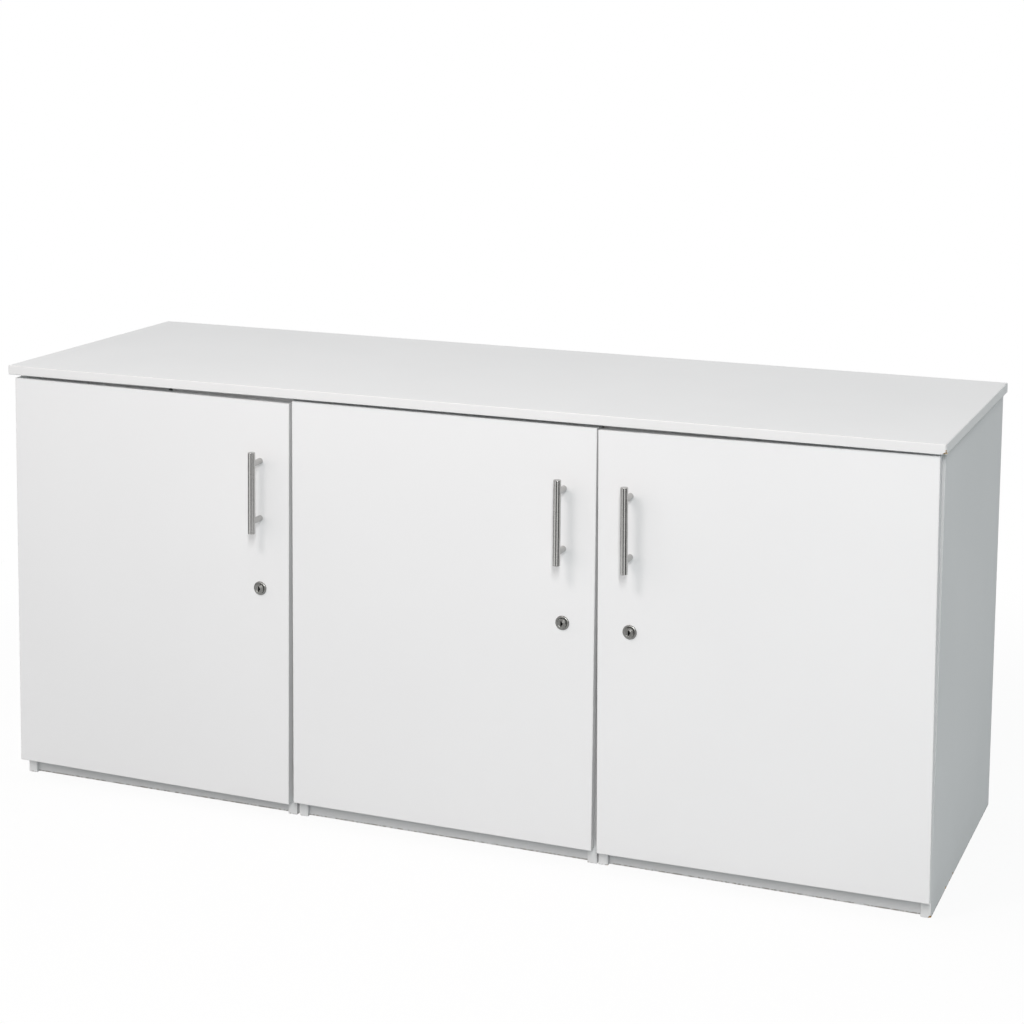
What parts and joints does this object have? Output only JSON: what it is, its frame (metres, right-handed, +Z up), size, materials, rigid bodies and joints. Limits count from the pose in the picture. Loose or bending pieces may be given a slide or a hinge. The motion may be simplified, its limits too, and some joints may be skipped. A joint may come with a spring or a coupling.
{
  "type": "office credenza",
  "caption": "Low white office cupboard row with hinged doors, steel bar handles and cam locks under one long top.",
  "frame": {"origin": "on the floor, under the middle of the whole bounding box", "axes": "+X to the right along the length, +Y to the back, +Z up; the doors face -Y"},
  "size_m": [1.603, 0.564, 0.73],
  "materials": {
    "white_board": "white melamine-faced chipboard with white edging",
    "back_board": "white-faced hardboard",
    "handle_steel": "brushed stainless steel",
    "hinge_steel": "nickel-plated pressed steel",
    "lock_nickel": "satin nickel-plated zinc casting",
    "zinc_steel": "zinc-plated steel"
  },
  "bodies": {
    "carcass": {"top_panel": "white_board", "left_unit_connector": "zinc_steel", "right_unit_connector": "zinc_steel", "left_unit_left_side": "white_board", "left_unit_right_side": "white_board", "left_unit_base": "white_board", "left_unit_plinth": "white_board", "left_unit_front_rail": "white_board", "left_unit_rear_rail": "white_board", "left_unit_back": "back_board", "left_unit_shelf": "white_board", "left_upper_hinge_arm": "hinge_steel", "left_lower_hinge_arm": "hinge_steel", "middle_unit_left_side": "white_board", "middle_unit_right_side": "white_board", "middle_unit_base": "white_board", "middle_unit_plinth": "white_board", "middle_unit_front_rail": "white_board", "middle_unit_rear_rail": "white_board", "middle_unit_back": "back_board", "middle_unit_shelf": "white_board", "middle_upper_hinge_arm": "hinge_steel", "middle_lower_hinge_arm": "hinge_steel", "right_unit_left_side": "white_board", "right_unit_right_side": "white_board", "right_unit_base": "white_board", "right_unit_plinth": "white_board", "right_unit_front_rail": "white_board", "right_unit_rear_rail": "white_board", "right_unit_back": "back_board", "right_unit_shelf": "white_board", "right_upper_hinge_arm": "hinge_steel", "right_lower_hinge_arm": "hinge_steel"},
    "left_door_leaf": {"left_door": "white_board", "left_handle_bar": "handle_steel", "left_handle_upper_post": "handle_steel", "left_handle_lower_post": "handle_steel", "left_lock_housing": "lock_nickel", "left_upper_hinge_cup": "hinge_steel", "left_lower_hinge_cup": "hinge_steel"},
    "middle_door_leaf": {"middle_door": "white_board", "middle_handle_bar": "handle_steel", "middle_handle_upper_post": "handle_steel", "middle_handle_lower_post": "handle_steel", "middle_lock_housing": "lock_nickel", "middle_upper_hinge_cup": "hinge_steel", "middle_lower_hinge_cup": "hinge_steel"},
    "right_door_leaf": {"right_door": "white_board", "right_handle_bar": "handle_steel", "right_handle_upper_post": "handle_steel", "right_handle_lower_post": "handle_steel", "right_lock_housing": "lock_nickel", "right_upper_hinge_cup": "hinge_steel", "right_lower_hinge_cup": "hinge_steel"},
    "left_lock_turn_body": {"left_lock_plug": "lock_nickel", "left_lock_cam": "zinc_steel"},
    "middle_lock_turn_body": {"middle_lock_plug": "lock_nickel", "middle_lock_cam": "zinc_steel"},
    "right_lock_turn_body": {"right_lock_plug": "lock_nickel", "right_lock_cam": "zinc_steel"}
  },
  "joints": [
    {"name": "left_door_swing", "type": "hinge", "parent": "carcass", "child": "left_door_leaf", "pos_m": [-0.78576, -0.2391, 0.3491], "axis": [-0.0079, 0, -1], "range_deg": [0, 95]},
    {"name": "middle_door_swing", "type": "hinge", "parent": "carcass", "child": "middle_door_leaf", "pos_m": [-0.25326, -0.2391, 0.3499], "axis": [-0.0017, 0, -1], "range_deg": [0, 95]},
    {"name": "right_door_swing", "type": "hinge", "parent": "carcass", "child": "right_door_leaf", "pos_m": [0.78576, -0.2391, 0.3511], "axis": [-0.0082, 0, 1], "range_deg": [0, 95]},
    {"name": "left_lock_turn", "type": "hinge", "parent": "left_door_leaf", "child": "left_lock_turn_body", "pos_m": [-0.32167, -0.2391, 0.39006], "axis": [0, -1, 0], "range_deg": [0, 90]},
    {"name": "middle_lock_turn", "type": "hinge", "parent": "middle_door_leaf", "child": "middle_lock_turn_body", "pos_m": [0.21058, -0.2391, 0.39369], "axis": [0, -1, 0], "range_deg": [0, 90]},
    {"name": "right_lock_turn", "type": "hinge", "parent": "right_door_leaf", "child": "right_lock_turn_body", "pos_m": [0.32165, -0.2391, 0.39189], "axis": [0, 1, 0], "range_deg": [0, 90]}
  ]
}
